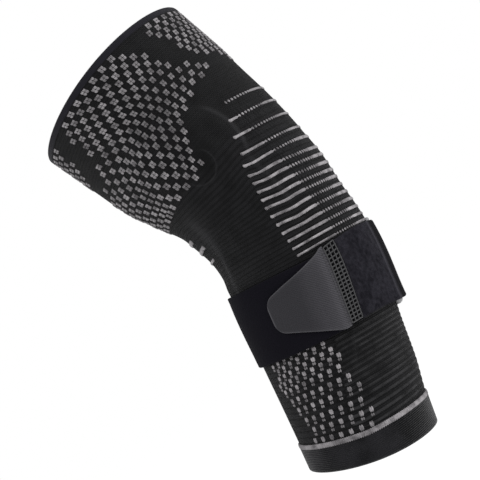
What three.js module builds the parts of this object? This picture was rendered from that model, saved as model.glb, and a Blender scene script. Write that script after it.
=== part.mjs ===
// Elbow brace: a bent knitted sleeve with a ring pad inside it and a wrap strap below the elbow.
// Millimetres. The origin is the middle of the elbow, +Z runs up the arm, +X points to the outside
// of the bend, and the arm bends in the XZ plane. The side that shows the strap's end faces -Y.

import * as THREE from 'three';

// Sleeve sizes
const upperLength = 137.5;
const lowerLength = 136.5;
const limbLean = 14.3;
const bendRadius = 118;
const upperRimWidth = 119.6;
const elbowWidth = 91;
const lowerRimWidth = 80;
const roundness = 0.9;
const knitWall = 2;
const rimBow = 3;
const edgeBandHeight = 4;
const edgeBandSwell = 0.4;
const cuffHeight = 16;
const cuffSwell = 0.8;
const crookRidgeRise = 0.8;
const crookRidgeWidth = 9;
const crookRidgeReach = 41;
const crookRidgeTurn = 35;

// Pad sizes
const padHeight = 62;
const padTurn = 259;
const padRadius = 34;
const padHoleRadius = 13;
const padThickness = 3.5;
const padRise = 1.3;
const padSlope = 8.5;

// Strap sizes
const strapWidth = 46.5;
const strapThickness = 2;
const strapDrop = 21.5;
const strapTilt = 11;
const strapStandOff = 4.2;
const tabSweep = 57;
const tabStart = -67;
const tabThickness = 1.8;
const tabCorner = 6;

// Gap kept between pieces that lie on each other
const clearance = 0.35;

// Widths along each limb. along: share of the limb's length from the elbow. outer and inner: how far
// the half-width on the outside and inside of the bend has gone from the elbow's to the rim's.
const upperSections = [
  { along: 0.15, outer: 0.27, inner: -0.05 },
  { along: 0.30, outer: 0.54, inner: -0.05 },
  { along: 0.45, outer: 0.72, inner: 0.32 },
  { along: 0.60, outer: 0.82, inner: 0.67 },
  { along: 0.75, outer: 0.93, inner: 0.80 },
  { along: 1.00, outer: 1.00, inner: 1.00 },
];
const lowerSections = [
  { along: 0.12, outer: -0.10, inner: -0.27 },
  { along: 0.22, outer: -0.18, inner: -0.27 },
  { along: 0.52, outer: 0.50, inner: 0.18 },
  { along: 0.70, outer: 0.67, inner: 0.48 },
  { along: 0.87, outer: 1.12, inner: 0.74 },
  { along: 1.00, outer: 1.25, inner: 0.90 },
];

// The strap's route. turn: degrees round the arm from +X, falling from its start to its end. rise and
// foot: how far its top and bottom edges stand above their level at the front, as shares of
// strapTilt. layer: 0 on the sleeve, 1 over its own start. off: how far it stands off, as a share of
// strapStandOff.
const strapRoute = [
  { turn: 310, rise: 0.36, foot: 0.58, layer: 0, off: 0 },
  { turn: 270, rise: -0.03, foot: 0.20, layer: 0, off: 0 },
  { turn: 226, rise: -0.03, foot: -0.05, layer: 0, off: 0 },
  { turn: 180, rise: 0.08, foot: -0.15, layer: 0, off: 0 },
  { turn: 90, rise: 0.30, foot: 0.20, layer: 0, off: 0 },
  { turn: 70, rise: 0.34, foot: 0.30, layer: 0, off: 0 },
  { turn: 34, rise: 0.38, foot: 0.50, layer: 0, off: 0.45 },
  { turn: 4, rise: 0.38, foot: 0.58, layer: 0, off: 0.95 },
  { turn: -26, rise: 0.40, foot: 0.60, layer: 0, off: 1.15 },
  { turn: -44, rise: 0.40, foot: 0.60, layer: 1, off: 0 },
  { turn: -62, rise: 0.30, foot: 0.50, layer: 1, off: 0 },
  { turn: -80, rise: 0.12, foot: 0.25, layer: 1, off: 0 },
];
const strapGapAtTop = 0.2;

// The tab's outline. reach: share of its sweep from the strap's end to its tip. top and bottom: its
// edges, as shares of the strap's width. layer: 2 over the strap's end, 1 on the strap's first turn.
const tabOutline = [
  { reach: 0.0000, top: 0.00, bottom: 1.00, layer: 2 },
  { reach: 0.1875, top: 0.01, bottom: 0.99, layer: 2 },
  { reach: 0.2500, top: 0.05, bottom: 0.97, layer: 2 },
  { reach: 0.3750, top: 0.08, bottom: 0.92, layer: 1 },
  { reach: 0.7500, top: 0.20, bottom: 0.81, layer: 1 },
  { reach: 1.0000, top: 0.32, bottom: 0.75, layer: 1 },
];

// Mesh steps
const sleeveColumns = 54;
const outerRowStep = 9;
const padRowStep = 5.5;
const innerRowStep = 12;
const rimSteps = 4;
const strapStep = 6;
const bandRows = 5;
const tabSteps = 16;
const padColumns = 36;

const halfBend = THREE.MathUtils.degToRad(limbLean);

// Value of one column of a table at a place between its rows, smooth and without overshoot.
function between(rows, place, column, at) {
  let i = 0;
  while (i < rows.length - 2 && at > rows[i + 1][place]) i += 1;
  const slope = (k) => (rows[k + 1][column] - rows[k][column]) / (rows[k + 1][place] - rows[k][place]);
  const tangent = (k) => {
    if (k === 0) return slope(0);
    if (k === rows.length - 1) return slope(k - 1);
    const product = slope(k - 1) * slope(k);
    return product > 0 ? (2 * product) / (slope(k - 1) + slope(k)) : 0;
  };
  const span = rows[i + 1][place] - rows[i][place];
  const t = THREE.MathUtils.clamp((at - rows[i][place]) / span, 0, 1);
  const start = rows[i][column] * (1 + 2 * t) * (1 - t) ** 2 + tangent(i) * span * t * (1 - t) ** 2;
  const end = rows[i + 1][column] * t * t * (3 - 2 * t) + tangent(i + 1) * span * t * t * (t - 1);
  return start + end;
}

// Half-widths on the outside and inside of the bend, in order from the lower rim to the upper rim.
const elbowHalf = elbowWidth / 2;
function limbRows(sections, length, rimWidth, side) {
  return sections.map(({ along, outer, inner }) => ({
    s: side * along * length,
    outer: elbowHalf + outer * (rimWidth / 2 - elbowHalf),
    inner: elbowHalf + inner * (rimWidth / 2 - elbowHalf),
  }));
}
const widthRows = [
  ...limbRows(lowerSections, lowerLength, lowerRimWidth, -1).reverse(),
  { s: 0, outer: elbowHalf, inner: elbowHalf },
  ...limbRows(upperSections, upperLength, upperRimWidth, 1),
];

// Centre of a section at arc length s from the elbow, with the direction out of the bend there.
function centreline(s) {
  const angle = THREE.MathUtils.clamp(s / bendRadius, -halfBend, halfBend);
  const up = new THREE.Vector3(-Math.sin(angle), 0, Math.cos(angle));
  const out = new THREE.Vector3(up.z, 0, -up.x);
  const centre = new THREE.Vector3(bendRadius * (Math.cos(angle) - 1), 0, bendRadius * Math.sin(angle));
  centre.addScaledVector(up, s - angle * bendRadius);
  return { centre, out };
}

// Mean half-width at s, which turns a length round the arm into an angle.
function meanRadius(s) {
  return (between(widthRows, 's', 'outer', s) + between(widthRows, 's', 'inner', s)) / 2;
}

// Point at arc length s and turn degrees round the arm, lifted off the sleeve's plain outer face.
function wallPoint(s, turn, lift) {
  const angle = THREE.MathUtils.degToRad(turn);
  const limb = s > 0 ? upperLength : lowerLength;
  const bow = rimBow * (s / limb) ** 3 * Math.sin(angle) ** 2;
  const { centre, out } = centreline(s + bow);
  const side = Math.cos(angle) > 0 ? 'outer' : 'inner';
  const across = (between(widthRows, 's', side, s) + lift) * Math.cos(angle);
  const deep = (roundness * meanRadius(s) + lift) * Math.sin(angle);
  return centre.addScaledVector(out, across).add(new THREE.Vector3(0, deep, 0));
}

// Relief on the sleeve's outer face: the ring over the pad and the ridge along the inside of the bend.
function relief(s, turn) {
  const smooth = THREE.MathUtils.smoothstep;
  const aside = THREE.MathUtils.degToRad(turn - padTurn) * meanRadius(s);
  const reach = Math.hypot(s - padHeight, aside);
  const ring = smooth(reach, padHoleRadius - padSlope / 2, padHoleRadius + padSlope / 2)
    * (1 - smooth(reach, padRadius - padSlope, padRadius + padSlope / 2));
  const fromRidge = THREE.MathUtils.degToRad(Math.abs(turn - 180) - crookRidgeTurn) * meanRadius(s);
  const ridge = (1 - smooth(Math.abs(fromRidge), 0, crookRidgeWidth))
    * (1 - smooth(Math.abs(s), 0, crookRidgeReach));
  return padRise * ring + crookRidgeRise * ridge;
}

// Closed body from loops of points. A ring joins its last loop to its first; a band is capped.
function sweep(loops, isRing) {
  const size = loops[0].length;
  const index = [];
  const quad = (a, b, c, d) => index.push(a, b, c, a, c, d);
  const spans = isRing ? loops.length : loops.length - 1;
  for (let i = 0; i < spans; i += 1) {
    const here = i * size;
    const next = ((i + 1) % loops.length) * size;
    for (let j = 0; j < size; j += 1) {
      const k = (j + 1) % size;
      quad(here + j, here + k, next + k, next + j);
    }
  }
  if (!isRing) {
    const last = (loops.length - 1) * size;
    for (let j = 0; j < size / 2 - 1; j += 1) {
      const far = size - 1 - j;
      quad(j, far, far - 1, j + 1);
      quad(last + j, last + j + 1, last + far - 1, last + far);
    }
  }
  const geometry = new THREE.BufferGeometry();
  const points = loops.flat();
  if (signedVolume(points, index) < 0) index.reverse();
  geometry.setAttribute('position', new THREE.Float32BufferAttribute(points.flatMap((p) => p.toArray()), 3));
  geometry.setIndex(index);
  geometry.computeVertexNormals();
  return geometry;
}

function signedVolume(points, index) {
  let volume = 0;
  for (let i = 0; i < index.length; i += 3) {
    const [a, b, c] = [points[index[i]], points[index[i + 1]], points[index[i + 2]]];
    volume += a.dot(b.clone().cross(c)) / 6;
  }
  return volume;
}

// Even steps from low to high, neither end included.
function stepsBetween(low, high, step) {
  const count = Math.max(2, Math.round((high - low) / step));
  return Array.from({ length: count - 1 }, (_, i) => low + ((high - low) * (i + 1)) / count);
}

// Sleeve: a closed profile of stations up the outside, round the upper rim, down the inside and
// round the lower rim, taken round the arm.
function rimStations(end, side, swell) {
  const radius = (knitWall + swell) / 2;
  return Array.from({ length: rimSteps + 1 }, (_, i) => {
    const angle = (Math.PI * i) / rimSteps;
    return {
      s: end - side * radius * (1 - Math.sin(angle)),
      lift: side * radius * Math.cos(angle) + (swell - knitWall) / 2,
    };
  });
}

function sleeveStations() {
  const padLow = padHeight - padRadius - padRowStep;
  const padHigh = padHeight + padRadius + padRowStep;
  const cuffTop = cuffHeight - lowerLength;
  const bandFoot = upperLength - edgeBandHeight;
  const outside = [
    { s: cuffTop - cuffHeight / 2, lift: cuffSwell },
    { s: cuffTop - cuffSwell, lift: cuffSwell },
    { s: cuffTop + cuffSwell, lift: 0 },
    ...stepsBetween(cuffTop + cuffSwell, padLow, outerRowStep).map((s) => ({ s, lift: 0 })),
    { s: padLow, lift: 0 },
    ...stepsBetween(padLow, padHigh, padRowStep).map((s) => ({ s, lift: 0 })),
    { s: padHigh, lift: 0 },
    ...stepsBetween(padHigh, bandFoot - edgeBandSwell, outerRowStep).map((s) => ({ s, lift: 0 })),
    { s: bandFoot - edgeBandSwell, lift: 0 },
    { s: bandFoot + edgeBandSwell, lift: edgeBandSwell },
  ].map((station) => ({ ...station, raised: true }));
  const inside = stepsBetween(-lowerLength, upperLength, innerRowStep).reverse();
  return [
    ...outside,
    ...rimStations(upperLength, 1, edgeBandSwell),
    ...inside.map((s) => ({ s, lift: -knitWall })),
    ...rimStations(-lowerLength, -1, cuffSwell),
  ];
}

function sleeveGeometry() {
  const loops = sleeveStations().map(({ s, lift, raised }) => Array.from({ length: sleeveColumns }, (_, i) => {
    const turn = (360 * i) / sleeveColumns;
    return wallPoint(s, turn, raised ? lift + relief(s, turn) : lift);
  }));
  return sweep(loops, true);
}

// Pad: a flat ring with a thin outer edge, bent to the sleeve's inner face.
function padGeometry() {
  const face = -knitWall - clearance;
  const width = padRadius - padHoleRadius;
  const profile = [
    { across: 0, deep: 0 },
    { across: 0.35, deep: 0 },
    { across: 0.7, deep: 0 },
    { across: 1, deep: 0 },
    { across: 1, deep: 0.35 },
    { across: 0.7, deep: 0.85 },
    { across: 0.35, deep: 1 },
    { across: 0, deep: 0.7 },
  ];
  const loops = profile.map(({ across, deep }) => Array.from({ length: padColumns }, (_, i) => {
    const around = (2 * Math.PI * i) / padColumns;
    const reach = padHoleRadius + across * width;
    const s = padHeight + reach * Math.sin(around);
    const turn = padTurn + THREE.MathUtils.radToDeg((reach * Math.cos(around)) / meanRadius(s));
    return wallPoint(s, turn, face - deep * padThickness);
  }));
  return sweep(loops, true);
}

// Height of a layer's inner face over the sleeve: each layer below adds its thickness and a gap.
function layerLift(layer) {
  return clearance + layer * (strapThickness + clearance);
}

// Closed cross-section of a band that follows the sleeve's relief: its inner face from top to bottom,
// then its outer face back up.
function bandLoop(turn, top, bottom, liftAt, thickness) {
  const inner = [];
  const outer = [];
  for (let i = 0; i < bandRows; i += 1) {
    const share = i / (bandRows - 1);
    const s = top + (bottom - top) * share;
    const lift = liftAt(share) + relief(s, turn);
    inner.push(wallPoint(s, turn, lift));
    outer.push(wallPoint(s, turn, lift + thickness));
  }
  return [...inner, ...outer.reverse()];
}

// Strap: a band that goes once round the forearm and over its own start.
const route = strapRoute.map((row) => ({ ...row, travel: strapRoute[0].turn - row.turn }));
const strapSweep = route[route.length - 1].travel;
const strapTop = (travel) => -strapDrop + strapTilt * between(route, 'travel', 'rise', travel);
const strapFoot = (travel) => -strapDrop - strapWidth + strapTilt * between(route, 'travel', 'foot', travel);

function strapGeometry() {
  const count = Math.round(strapSweep / strapStep);
  const loops = Array.from({ length: count + 1 }, (_, i) => {
    const travel = (strapSweep * i) / count;
    const base = layerLift(between(route, 'travel', 'layer', travel));
    const off = strapStandOff * between(route, 'travel', 'off', travel);
    const liftAt = (share) => base + off * (strapGapAtTop + (1 - strapGapAtTop) * share ** 2);
    return bandLoop(route[0].turn - travel, strapTop(travel), strapFoot(travel), liftAt, strapThickness);
  });
  return sweep(loops, false);
}

// Tab: a tapered plate with rounded corners, over the strap's end and down onto its first turn.
function tabGeometry() {
  const arcLength = THREE.MathUtils.degToRad(tabSweep) * meanRadius(-strapDrop - strapWidth / 2);
  const cornerShares = [0.75, 0.5, 0.25, 0.08].map((share) => 1 - (share * tabCorner) / arcLength);
  const reaches = Array.from({ length: tabSteps }, (_, i) => i / tabSteps)
    .filter((reach) => reach < cornerShares[0] - 0.5 / tabSteps);
  const loops = [...reaches, ...cornerShares, 1].map((reach) => {
    const turn = tabStart - tabSweep * reach;
    const travel = route[0].turn - turn;
    const top = strapTop(travel);
    const width = top - strapFoot(travel);
    const left = Math.min(tabCorner, (1 - reach) * arcLength);
    const inset = tabCorner - Math.sqrt(tabCorner ** 2 - (tabCorner - left) ** 2);
    const upper = top - width * between(tabOutline, 'reach', 'top', reach) - inset;
    const lower = top - width * between(tabOutline, 'reach', 'bottom', reach) + inset;
    const lift = layerLift(between(tabOutline, 'reach', 'layer', reach));
    return bandLoop(turn, upper, lower, () => lift, tabThickness);
  });
  return sweep(loops, false);
}

function piece(name, geometry, color, roughness) {
  const material = new THREE.MeshStandardMaterial({ color, roughness, metalness: 0 });
  const mesh = new THREE.Mesh(geometry, material);
  mesh.name = name;
  return mesh;
}

const brace = new THREE.Group();
brace.add(piece('knit_sleeve', sleeveGeometry(), 0x1e1e1f, 0.9));
brace.add(piece('pressure_pad', padGeometry(), 0x55565a, 0.6));
brace.add(piece('forearm_strap', strapGeometry(), 0x1b1a20, 0.95));
brace.add(piece('hook_tab', tabGeometry(), 0x38373c, 0.7));

export default brace;
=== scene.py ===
# Looks of the elbow brace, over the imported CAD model. Lengths are millimetres until a mesh is made.
from itertools import product

import bmesh
import bpy
import numpy as np
from mathutils import Matrix, Vector


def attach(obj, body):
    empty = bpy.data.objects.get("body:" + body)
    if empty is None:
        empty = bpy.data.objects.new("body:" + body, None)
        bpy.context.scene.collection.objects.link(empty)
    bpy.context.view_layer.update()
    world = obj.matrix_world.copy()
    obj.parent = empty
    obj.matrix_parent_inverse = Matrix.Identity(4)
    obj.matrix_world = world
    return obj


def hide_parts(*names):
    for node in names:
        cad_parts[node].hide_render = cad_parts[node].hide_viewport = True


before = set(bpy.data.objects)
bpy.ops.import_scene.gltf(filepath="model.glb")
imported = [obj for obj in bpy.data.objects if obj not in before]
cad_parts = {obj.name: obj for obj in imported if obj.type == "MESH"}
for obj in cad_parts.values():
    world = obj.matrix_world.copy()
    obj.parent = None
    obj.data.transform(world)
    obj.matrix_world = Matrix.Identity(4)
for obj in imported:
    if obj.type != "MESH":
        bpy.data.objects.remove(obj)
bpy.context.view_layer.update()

MM = 0.001

# Sleeve sizes, as in the part's source
UPPER_LENGTH = 137.5
LOWER_LENGTH = 136.5
LIMB_LEAN = np.radians(14.3)
BEND_RADIUS = 118.0
UPPER_RIM_WIDTH = 119.6
ELBOW_WIDTH = 91.0
LOWER_RIM_WIDTH = 80.0
ROUNDNESS = 0.9
KNIT_WALL = 2.0
RIM_BOW = 3.0
EDGE_BAND_HEIGHT = 4.0
EDGE_BAND_SWELL = 0.4
CUFF_HEIGHT = 16.0
CUFF_SWELL = 0.8
CROOK_RIDGE_RISE = 0.8
CROOK_RIDGE_WIDTH = 9.0
CROOK_RIDGE_REACH = 41.0
CROOK_RIDGE_TURN = 35.0

# Pad sizes
PAD_HEIGHT = 62.0
PAD_TURN = 259.0
PAD_RADIUS = 34.0
PAD_HOLE_RADIUS = 13.0
PAD_THICKNESS = 3.5
PAD_RISE = 1.3
PAD_SLOPE = 8.5

# Strap and tab sizes
STRAP_WIDTH = 46.5
STRAP_THICKNESS = 2.0
STRAP_DROP = 21.5
STRAP_TILT = 11.0
STRAP_STAND_OFF = 4.2
STRAP_GAP_AT_TOP = 0.2
TAB_SWEEP = 57.0
TAB_START = -67.0
TAB_THICKNESS = 1.8
TAB_CORNER = 4.8
CLEARANCE = 0.35

# Share of a limb's length; how far the outer and inner half-widths have gone to the rim's
UPPER_SECTIONS = [
    (0.15, 0.27, -0.05), (0.3, 0.54, -0.05), (0.45, 0.72, 0.32),
    (0.6, 0.82, 0.67), (0.75, 0.93, 0.8), (1, 1, 1),
]
LOWER_SECTIONS = [
    (0.12, -0.1, -0.27), (0.22, -0.18, -0.27), (0.52, 0.5, 0.18),
    (0.7, 0.67, 0.48), (0.87, 1.12, 0.74), (1, 1.25, 0.9),
]

# The strap's way round the arm. Rise and foot: shares of the tilt. Off: share of the stand-off.
ROUTE_TURN, ROUTE_RISE, ROUTE_FOOT, ROUTE_LAYER, ROUTE_OFF = np.array([
    (310, 0.36, 0.58, 0, 0),
    (270, -0.03, 0.2, 0, 0),
    (226, -0.03, -0.05, 0, 0),
    (180, 0.08, -0.15, 0, 0),
    (90, 0.3, 0.2, 0, 0),
    (70, 0.34, 0.3, 0, 0),
    (34, 0.38, 0.5, 0, 0.45),
    (4, 0.38, 0.58, 0, 0.95),
    (-26, 0.4, 0.6, 0, 1.15),
    (-44, 0.4, 0.6, 1, 0),
    (-62, 0.3, 0.5, 1, 0),
    (-80, 0.12, 0.25, 1, 0),
]).T

# The tab from its sewn end to its tip. Top and bottom: shares of the strap's width.
TAB_REACH, TAB_TOP, TAB_BOTTOM, TAB_LAYER = np.array([
    (0, -0.035, 1, 2),
    (0.1875, -0.02, 0.99, 2),
    (0.25, 0.015, 0.985, 2),
    (0.375, 0.07, 0.95, 1),
    (0.75, 0.222, 0.825, 1),
    (1, 0.32, 0.75, 1),
]).T

# Colours, linear: dark and light of each cloth
KNIT_COLOURS = (0.0008, 0.0008, 0.0011), (0.0062, 0.0062, 0.007)
# Painted shade on the forearm ribs' flanks and painted highlight on their tops
RIB_SHADE_AND_HIGHLIGHT_COLOURS = (0.0005, 0.0005, 0.0008), (0.024, 0.0238, 0.0252)
# Painted highlight on the crests of the knit's creases; painted shade in the pad's hole
CREST_HIGHLIGHT_COLOUR = (0.0185, 0.0185, 0.02)
HOLLOW_COLOUR = (0.0002, 0.0002, 0.0004)
YARN_COLOURS = (0.046, 0.043, 0.046), (0.265, 0.252, 0.261)
DARKENED_YARN_COLOUR = (0.04, 0.038, 0.04)
BAND_COLOURS = (0.003, 0.0028, 0.0046), (0.0085, 0.008, 0.0118)
CUFF_COLOURS = (0.0002, 0.0002, 0.0006), (0.0098, 0.0096, 0.0114)
LINING_COLOURS = (0.016, 0.016, 0.018), (0.045, 0.045, 0.048)
PAD_COLOURS = (0.15, 0.15, 0.155), (0.21, 0.21, 0.215)
STRAP_COLOURS = (0.0026, 0.0024, 0.0038), (0.0054, 0.0051, 0.0074)
BRUSHED_COLOURS = (0.0042, 0.004, 0.0056), (0.0158, 0.0152, 0.0194)
# Light line on the strap's crease: painted highlight, partly wear
CREASE_HIGHLIGHT_COLOUR = (0.034, 0.033, 0.039)
# Painted shade on the strap's side where it turns away
STRAP_SIDE_SHADE_COLOUR = (0.0012, 0.0011, 0.002)
STRAP_LINING_COLOURS = (0.09, 0.09, 0.093), (0.17, 0.17, 0.174)
BACKING_COLOURS = (0.13, 0.13, 0.133), (0.28, 0.28, 0.285)
THREAD_COLOURS = (0.011, 0.011, 0.012), (0.034, 0.034, 0.036)
# The tab's, from its sewn end to its tip: painted shade, darker towards the tip
TAB_SHADE_COLOURS = (0.047, 0.0452, 0.052), (0.0126, 0.012, 0.0152)
TAB_HATCH_COLOUR = (0.0105, 0.01, 0.0125)
# Painted highlight on the tab's rim
TAB_RIM_HIGHLIGHT_COLOUR = (0.055, 0.054, 0.06)
SEAM_COLOUR = (0.0016, 0.0016, 0.002)


def between(places, values, at):
    """Values at places between a table's rows, smooth and without overshoot."""
    at = np.clip(at, places[0], places[-1])
    slope = np.diff(values) / np.diff(places)
    both = slope[:-1] * slope[1:]
    total = slope[:-1] + slope[1:]
    inner = np.where(both > 0, 2 * both / np.where(both > 0, total, 1), 0)
    tangent = np.concatenate([slope[:1], inner, slope[-1:]])
    i = np.clip(np.searchsorted(places, at) - 1, 0, len(places) - 2)
    span = places[i + 1] - places[i]
    t = (at - places[i]) / span
    start = values[i] * (1 + 2 * t) * (1 - t) ** 2 + tangent[i] * span * t * (1 - t) ** 2
    end = values[i + 1] * t * t * (3 - 2 * t) + tangent[i + 1] * span * t * t * (t - 1)
    return start + end


def ease(value, low, high):
    t = np.clip((value - low) / (high - low), 0, 1)
    return t * t * (3 - 2 * t)


def within(value, low, full, fading, gone):
    """0 below low, 1 from full to fading, 0 again past gone."""
    return ease(value, low, full) * (1 - ease(value, fading, gone))


def bell(value, middle, width):
    return np.exp(-((value - middle) / width) ** 2)


def ring_angles(count):
    return np.arange(count) * 2 * np.pi / count


def degrees_from(turn, middle):
    """How many degrees a turn is from another, 180 at most."""
    return np.abs((turn - middle + 180) % 360 - 180)


def near_side(turn):
    """A turn mirrored onto the near side, where turns run from 180 to 360."""
    return 360 - degrees_from(turn, 0)


def limb_rows(sections, length, rim_width, side):
    """A limb's widths from the elbow to the rim: s, outer and inner half-width."""
    elbow = ELBOW_WIDTH / 2
    reach = rim_width / 2 - elbow
    return [(side * along * length, elbow + outer * reach, elbow + inner * reach)
            for along, outer, inner in sections]


WIDTH_AT, OUTER_HALF_WIDTH, INNER_HALF_WIDTH = np.array(
    limb_rows(LOWER_SECTIONS, LOWER_LENGTH, LOWER_RIM_WIDTH, -1)[::-1]
    + [(0, ELBOW_WIDTH / 2, ELBOW_WIDTH / 2)]
    + limb_rows(UPPER_SECTIONS, UPPER_LENGTH, UPPER_RIM_WIDTH, 1)
).T


def half_widths(s):
    return between(WIDTH_AT, OUTER_HALF_WIDTH, s), between(WIDTH_AT, INNER_HALF_WIDTH, s)


def mean_radius(s):
    return sum(half_widths(s)) / 2


def wall_point(s, turn, lift):
    """Points at arc length s and turn degrees round the arm, lifted off the sleeve's plain outer face."""
    s, turn, lift = np.broadcast_arrays(*(np.asarray(value, float) for value in (s, turn, lift)))
    angle = np.radians(turn)
    limb = np.where(s > 0, UPPER_LENGTH, LOWER_LENGTH)
    along = s + RIM_BOW * (s / limb) ** 3 * np.sin(angle) ** 2
    lean = np.clip(along / BEND_RADIUS, -LIMB_LEAN, LIMB_LEAN)
    rest = along - lean * BEND_RADIUS
    outer, inner = half_widths(s)
    across = (np.where(np.cos(angle) > 0, outer, inner) + lift) * np.cos(angle)
    deep = (ROUNDNESS * (outer + inner) / 2 + lift) * np.sin(angle)
    x = BEND_RADIUS * (np.cos(lean) - 1) - np.sin(lean) * rest + across * np.cos(lean)
    z = BEND_RADIUS * np.sin(lean) + np.cos(lean) * rest + across * np.sin(lean)
    return np.stack([x, deep, z], axis=-1)


def relief(s, turn):
    """Relief on the sleeve's outer face: the ring over the pad and the ridges by the inside of the bend."""
    reach = np.hypot(s - PAD_HEIGHT, np.radians(turn - PAD_TURN) * mean_radius(s))
    ring = within(reach, PAD_HOLE_RADIUS - PAD_SLOPE / 2, PAD_HOLE_RADIUS + PAD_SLOPE / 2,
                  PAD_RADIUS - PAD_SLOPE, PAD_RADIUS + PAD_SLOPE / 2)
    from_ridge = np.radians(np.abs(turn - 180) - CROOK_RIDGE_TURN) * mean_radius(s)
    ridge = 1 - ease(np.abs(from_ridge), 0, CROOK_RIDGE_WIDTH)
    ridge = ridge * (1 - ease(np.abs(s), 0, CROOK_RIDGE_REACH))
    return PAD_RISE * ring + CROOK_RIDGE_RISE * ridge


def link_object(name, data):
    obj = bpy.data.objects.new(name, data)
    bpy.context.collection.objects.link(obj)
    return obj


def add_mesh(name, points, faces):
    """Smooth mesh object from points in millimetres."""
    mesh = bpy.data.meshes.new(name)
    mesh.from_pydata((points.reshape(-1, 3) * MM).tolist(), [], faces)
    mesh.update()
    mesh.shade_smooth()
    return link_object(name, mesh)


def grid_cells(rows, columns, ring_rows, ring_columns):
    """Row and column of each cell of a grid of points, and of the point across it."""
    r = np.arange(rows if ring_rows else rows - 1)
    c = np.arange(columns if ring_columns else columns - 1)
    r, c = np.meshgrid(r, c, indexing="ij")
    return r, c, (r + 1) % rows, (c + 1) % columns


def grid_faces(rows, columns, ring_rows=False, ring_columns=False):
    r, c, r2, c2 = grid_cells(rows, columns, ring_rows, ring_columns)
    corners = [r * columns + c, r * columns + c2, r2 * columns + c2, r2 * columns + c]
    return np.stack(corners, axis=-1).reshape(-1, 4)


def end_rings(rings, around):
    """The points of a tube's first and last ring."""
    last = around * (rings - 1)
    return list(range(around)), list(range(last, last + around))


def grid_mesh(name, points, ring_rows=False, ring_columns=False, uv=None, slots=None):
    """Mesh object from a grid of points, closed along its rows or columns where asked."""
    size = points.shape[:2]
    obj = add_mesh(name, points, grid_faces(*size, ring_rows, ring_columns).tolist())
    r, c, r2, _ = grid_cells(*size, ring_rows, ring_columns)
    if uv is not None:
        corners = [np.stack([table[r, c], table[r, c + 1], table[r2, c + 1], table[r2, c]], axis=-1)
                   for table in uv]
        layer = obj.data.uv_layers.new(name="UVMap")
        layer.data.foreach_set("uv", np.stack(corners, axis=-1).reshape(-1))
    if slots is not None:
        obj.data.polygons.foreach_set("material_index", slots[r, c].reshape(-1).astype(np.int32))
    return obj


def close_ends(obj, rings, around, slot):
    """Close a tube's ends with faces of the given material."""
    first, last = end_rings(rings, around)
    built = bmesh.new()
    built.from_mesh(obj.data)
    built.verts.ensure_lookup_table()
    for cap in (first, last[::-1]):
        built.faces.new([built.verts[i] for i in cap]).material_index = slot
    bmesh.ops.recalc_face_normals(built, faces=built.faces)
    built.to_mesh(obj.data)
    built.free()


def closed_tubes(name, tubes, material):
    """One mesh of closed tubes, each a grid of points: rings along it, points round it."""
    faces = []
    offset = 0
    for points in tubes:
        rings, around = points.shape[:2]
        first, last = (np.array(ring) + offset for ring in end_rings(rings, around))
        faces += (grid_faces(rings, around, ring_columns=True) + offset).tolist()
        faces += [first[::-1].tolist(), last.tolist()]
        offset += rings * around
    obj = add_mesh(name, np.concatenate([points.reshape(-1, 3) for points in tubes]), faces)
    obj.data.materials.append(material)
    return obj


def mark(obj, name, values):
    """Give a mesh a number at each point, which its material reads by name."""
    attribute = obj.data.attributes.new(name, "FLOAT", "POINT")
    attribute.data.foreach_set("value", np.asarray(values, np.float32).reshape(-1))


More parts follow.
